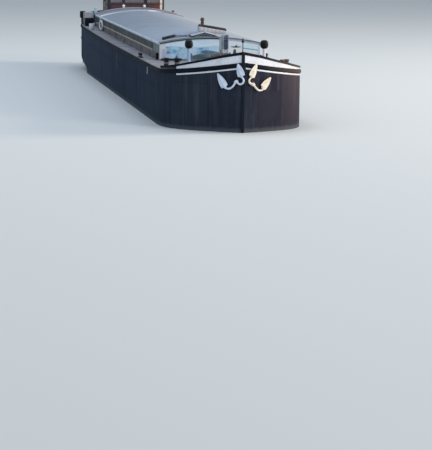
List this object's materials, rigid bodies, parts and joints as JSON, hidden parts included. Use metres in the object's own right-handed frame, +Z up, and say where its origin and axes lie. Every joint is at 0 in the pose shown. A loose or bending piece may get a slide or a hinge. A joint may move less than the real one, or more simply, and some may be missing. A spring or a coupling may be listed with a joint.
{
  "type": "river barge",
  "caption": "Long flat-bottomed steel river barge with a bluff bow, arched hold roof, wooden wheelhouse aft, bow anchors, rudder and propeller.",
  "frame": {"origin": "centre of the overall box at the level of the flat bottom; the waterline is at z = 0.70 m", "axes": "+Z up, the bow points along -Y and the stern along +Y, +X is the port side and -X the starboard side"},
  "size_m": [5.05, 38.5878, 4.965],
  "materials": {
    "hull_paint": "blue-black hull paint, worn satin",
    "black_paint": "black gloss paint",
    "white_paint": "white gloss paint",
    "panel_paint": "pale blue and white painted panel",
    "roof_paint": "blue-grey satin roof paint",
    "coaming_paint": "dark grey paint",
    "grey_paint": "mid grey deck paint",
    "light_blue_paint": "pale blue gloss paint",
    "green_grey_paint": "dark green-grey paint",
    "locker_paint": "pale lilac-grey paint",
    "vent_paint": "white pipe under a black cowl",
    "anchor_paint": "white paint over forged iron",
    "brown_iron": "red-brown iron oxide paint",
    "varnished_wood": "varnished red-brown hardwood",
    "dark_wood": "dark oiled hardwood",
    "bronze": "dull cast bronze"
  },
  "bodies": {
    "root": {"hull": "hull_paint", "stem_bar": "black_paint", "rudder_heel": "hull_paint", "rubbing_strake": "black_paint", "bow_strake_starboard": "black_paint", "bow_strake_port": "black_paint", "bow_bulwark": "white_paint", "bow_rail": "black_paint", "stern_bulwark": "black_paint", "stern_rail": "black_paint", "hold_roof": "roof_paint", "roof_band": "white_paint", "cabin_roof": "roof_paint", "coaming_starboard": "coaming_paint", "coaming_port": "coaming_paint", "front_bulkhead": "panel_paint", "aft_bulkhead": "white_paint", "skylight_base": "grey_paint", "stovepipe": "brown_iron", "roof_roll": "black_paint", "roof_chest": "grey_paint", "vent_starboard": "vent_paint", "vent_port": "vent_paint", "mast_tabernacle": "grey_paint", "jackstaff": "grey_paint", "windlass_frame": "green_grey_paint", "forepeak_hatch_rim": "grey_paint", "engine_hatch_rim": "grey_paint", "bollard_bow_port": "brown_iron", "bollard_bow_starboard": "black_paint", "bollard_side_starboard": "black_paint", "bollard_side_port": "black_paint", "bollard_stern_starboard": "black_paint", "bollard_stern_port": "black_paint", "anchor_starboard": "anchor_paint", "anchor_port": "anchor_paint", "wheelhouse_front": "varnished_wood", "wheelhouse_aft": "varnished_wood", "wheelhouse_starboard": "varnished_wood", "wheelhouse_port": "varnished_wood", "wheelhouse_floor": "dark_wood", "wheelhouse_roof": "roof_paint", "roof_coping": "brown_iron", "roof_box": "brown_iron", "cabin_vent_starboard": "white_paint", "cabin_vent_port": "white_paint", "quarter_pillar": "light_blue_paint", "quarter_box": "black_paint", "steering_console": "dark_wood", "side_locker": "locker_paint"},
    "propeller": {"propeller": "bronze"},
    "rudder": {"rudder": "hull_paint"},
    "steering_wheel": {"steering_wheel": "dark_wood"},
    "wheelhouse_door_starboard": {"wheelhouse_door_starboard": "varnished_wood"},
    "wheelhouse_door_port": {"wheelhouse_door_port": "varnished_wood"},
    "forepeak_hatch_lid": {"forepeak_hatch_lid": "grey_paint"},
    "engine_hatch_lid": {"engine_hatch_lid": "grey_paint"},
    "windlass_barrel": {"windlass_barrel": "brown_iron"},
    "skylight_leaf_starboard": {"skylight_leaf_starboard": "white_paint"},
    "skylight_leaf_port": {"skylight_leaf_port": "white_paint"}
  },
  "joints": [
    {"name": "propeller_spin", "type": "hinge", "parent": "root", "child": "propeller", "pos_m": [0, 16.7839, 0.46], "axis": [0, 1, 0], "continuous": true},
    {"name": "rudder_turn", "type": "hinge", "parent": "root", "child": "rudder", "pos_m": [0, 17.6039, 0.5], "axis": [0, 0, 1], "range_deg": [-40, 40]},
    {"name": "wheel_turn", "type": "hinge", "parent": "root", "child": "steering_wheel", "pos_m": [0, 14.8739, 3.56], "axis": [0, 1, 0], "range_deg": [-360, 360]},
    {"name": "starboard_door_swing", "type": "hinge", "parent": "root", "child": "wheelhouse_door_starboard", "pos_m": [-1.33, 15.4119, 3.8], "axis": [0, 0, 1], "range_deg": [0, 95]},
    {"name": "port_door_swing", "type": "hinge", "parent": "root", "child": "wheelhouse_door_port", "pos_m": [1.33, 15.4119, 3.8], "axis": [0, 0, -1], "range_deg": [0, 95]},
    {"name": "forepeak_lid_open", "type": "hinge", "parent": "root", "child": "forepeak_hatch_lid", "pos_m": [0, -13.6261, 2.9003], "axis": [1, 0, 0], "range_deg": [0, 100]},
    {"name": "engine_lid_open", "type": "hinge", "parent": "root", "child": "engine_hatch_lid", "pos_m": [0, 16.6839, 3.0203], "axis": [1, 0, 0], "range_deg": [0, 100]},
    {"name": "windlass_turn", "type": "hinge", "parent": "root", "child": "windlass_barrel", "pos_m": [0, -16.0961, 3.11], "axis": [1, 0, 0], "continuous": true},
    {"name": "skylight_starboard_open", "type": "hinge", "parent": "root", "child": "skylight_leaf_starboard", "pos_m": [-0.21916, -10.5261, 3.72101], "axis": [0, 1, 0], "range_deg": [0, 60]},
    {"name": "skylight_port_open", "type": "hinge", "parent": "root", "child": "skylight_leaf_port", "pos_m": [-0.18084, -10.5261, 3.72101], "axis": [0, -1, 0], "range_deg": [0, 60]}
  ],
  "couplings": [
    {"joint": "wheel_turn", "follows": "rudder_turn", "ratio": 9}
  ]
}
